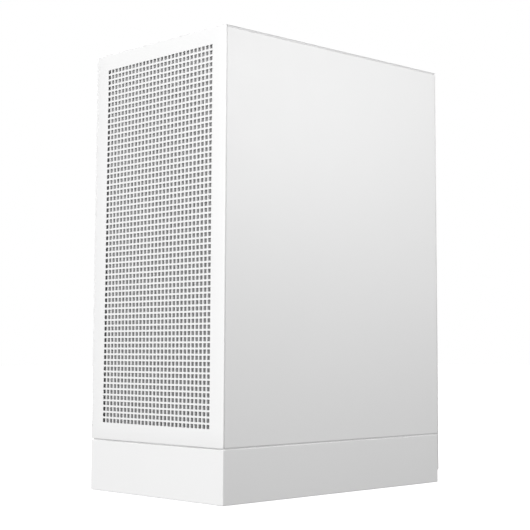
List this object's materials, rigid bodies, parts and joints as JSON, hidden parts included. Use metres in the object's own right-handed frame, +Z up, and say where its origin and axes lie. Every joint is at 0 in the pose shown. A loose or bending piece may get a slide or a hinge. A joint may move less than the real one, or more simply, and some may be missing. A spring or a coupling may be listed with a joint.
{
  "type": "desktop computer tower",
  "caption": "Upright white desktop computer tower with a punched mesh front, pull-off panels on a plinth, and its fans, board, card, drives and power supply inside.",
  "frame": {"origin": "on the floor under the middle of the tower", "axes": "+Z up, -Y out of the punched front, +X out of the closed side panel"},
  "size_m": [0.22, 0.33, 0.48],
  "materials": {
    "white_steel": "fine powder coat",
    "inner_steel": "powder coat",
    "black_plastic": "moulded",
    "black_steel": "textured paint",
    "fan_plastic": "moulded",
    "foot_rubber": "matte",
    "tinted_glass": "polished, lightly tinted",
    "filter_mesh": "woven nylon mesh",
    "bare_metal": "brushed",
    "circuit_board": "solder mask",
    "nickel_pipe": "nickel plate",
    "cable_sleeve": "braided sleeve"
  },
  "bodies": {
    "chassis": {"base_plinth": "white_steel", "chassis_rear": "white_steel", "port_bezel": "white_steel", "chassis_floor": "inner_steel", "chassis_front": "inner_steel", "chassis_top": "inner_steel", "motherboard_tray": "inner_steel", "psu_shroud": "inner_steel", "drive_cage": "inner_steel", "foot_front_left": "foot_rubber", "foot_front_right": "foot_rubber", "foot_rear_left": "foot_rubber", "foot_rear_right": "foot_rubber", "front_fan_1_frame": "fan_plastic", "front_fan_2_frame": "fan_plastic", "front_fan_3_frame": "fan_plastic", "rear_fan_frame": "fan_plastic", "cooler_fan_frame": "fan_plastic", "audio_jack": "black_plastic", "rear_port_block": "black_plastic", "graphics_slot": "black_plastic", "graphics_shroud": "black_plastic", "psu_inlet": "black_plastic", "solid_state_drive": "black_plastic", "board_power_plug": "black_plastic", "psu_housing": "black_steel", "usb_a_port_1": "bare_metal", "usb_a_port_2": "bare_metal", "usb_c_port": "bare_metal", "regulator_heatsink": "bare_metal", "memory_module_1": "bare_metal", "memory_module_2": "bare_metal", "cooler_fins": "bare_metal", "graphics_heatsink": "bare_metal", "graphics_bracket": "bare_metal", "hard_drive": "bare_metal", "port_board": "circuit_board", "mainboard": "circuit_board", "graphics_board": "circuit_board", "cooler_base": "nickel_pipe", "board_power_cable": "cable_sleeve", "graphics_power_cable": "cable_sleeve"},
    "front_cover": {"front_panel": "white_steel", "front_dust_filter": "filter_mesh"},
    "right_cover": {"right_panel": "white_steel"},
    "left_cover": {"left_glass": "tinted_glass", "left_panel_frame": "inner_steel"},
    "top_cover": {"top_panel": "white_steel"},
    "bottom_filter": {"bottom_dust_filter": "black_plastic"},
    "button": {"power_button": "white_steel"},
    "front_impeller_1": {"front_fan_1_rotor": "fan_plastic"},
    "front_impeller_2": {"front_fan_2_rotor": "fan_plastic"},
    "front_impeller_3": {"front_fan_3_rotor": "fan_plastic"},
    "rear_impeller": {"rear_fan_rotor": "fan_plastic"},
    "cooler_impeller": {"cooler_fan_rotor": "fan_plastic"},
    "graphics_impeller_1": {"graphics_rotor_1": "black_plastic"},
    "graphics_impeller_2": {"graphics_rotor_2": "black_plastic"},
    "psu_impeller": {"psu_rotor": "black_plastic"},
    "psu_rocker": {"psu_switch": "black_plastic"},
    "slot_latch": {"graphics_slot_latch": "black_plastic"}
  },
  "joints": [
    {"name": "front_cover_pull", "type": "slide", "parent": "chassis", "child": "front_cover", "axis": [0, -1, 0], "range_m": [0, 0.09]},
    {"name": "right_cover_pull", "type": "slide", "parent": "chassis", "child": "right_cover", "axis": [1, 0, 0], "range_m": [0, 0.12]},
    {"name": "left_cover_pull", "type": "slide", "parent": "chassis", "child": "left_cover", "axis": [-1, 0, 0], "range_m": [0, 0.12]},
    {"name": "top_cover_lift", "type": "slide", "parent": "chassis", "child": "top_cover", "axis": [0, 0, 1], "range_m": [0, 0.09]},
    {"name": "bottom_filter_slide", "type": "slide", "parent": "chassis", "child": "bottom_filter", "axis": [0, 1, 0], "range_m": [0, 0.14]},
    {"name": "power_button_press", "type": "slide", "parent": "chassis", "child": "button", "axis": [0, 0, -1], "range_m": [0, 0.0012], "stiffness_N_per_m": 600, "springref_m": -0.002},
    {"name": "front_fan_1_spin", "type": "hinge", "parent": "chassis", "child": "front_impeller_1", "pos_m": [0, -0.1395, 0.1482], "axis": [0, 1, 0], "continuous": true},
    {"name": "front_fan_2_spin", "type": "hinge", "parent": "chassis", "child": "front_impeller_2", "pos_m": [0, -0.1395, 0.2682], "axis": [0, 1, 0], "continuous": true},
    {"name": "front_fan_3_spin", "type": "hinge", "parent": "chassis", "child": "front_impeller_3", "pos_m": [0, -0.1395, 0.3882], "axis": [0, 1, 0], "continuous": true},
    {"name": "rear_fan_spin", "type": "hinge", "parent": "chassis", "child": "rear_impeller", "pos_m": [-0.042, 0.1492, 0.345], "axis": [0, 1, 0], "continuous": true},
    {"name": "cooler_fan_spin", "type": "hinge", "parent": "chassis", "child": "cooler_impeller", "pos_m": [-0.026, 0.0235, 0.345], "axis": [0, 1, 0], "continuous": true},
    {"name": "graphics_fan_1_spin", "type": "hinge", "parent": "chassis", "child": "graphics_impeller_1", "pos_m": [0, -0.012, 0.2225], "axis": [0, 0, 1], "continuous": true},
    {"name": "graphics_fan_2_spin", "type": "hinge", "parent": "chassis", "child": "graphics_impeller_2", "pos_m": [0, 0.088, 0.2225], "axis": [0, 0, 1], "continuous": true},
    {"name": "psu_fan_spin", "type": "hinge", "parent": "chassis", "child": "psu_impeller", "pos_m": [0, 0.0932, 0.0295], "axis": [0, 0, 1], "continuous": true},
    {"name": "psu_switch_rock", "type": "hinge", "parent": "chassis", "child": "psu_rocker", "pos_m": [0.017, 0.1607, 0.0785], "axis": [1, 0, 0], "range_deg": [-16, 0]},
    {"name": "slot_latch_tilt", "type": "hinge", "parent": "chassis", "child": "slot_latch", "pos_m": [0.07, 0.0185, 0.251], "axis": [0, 0, 1], "range_deg": [0, 25]}
  ]
}
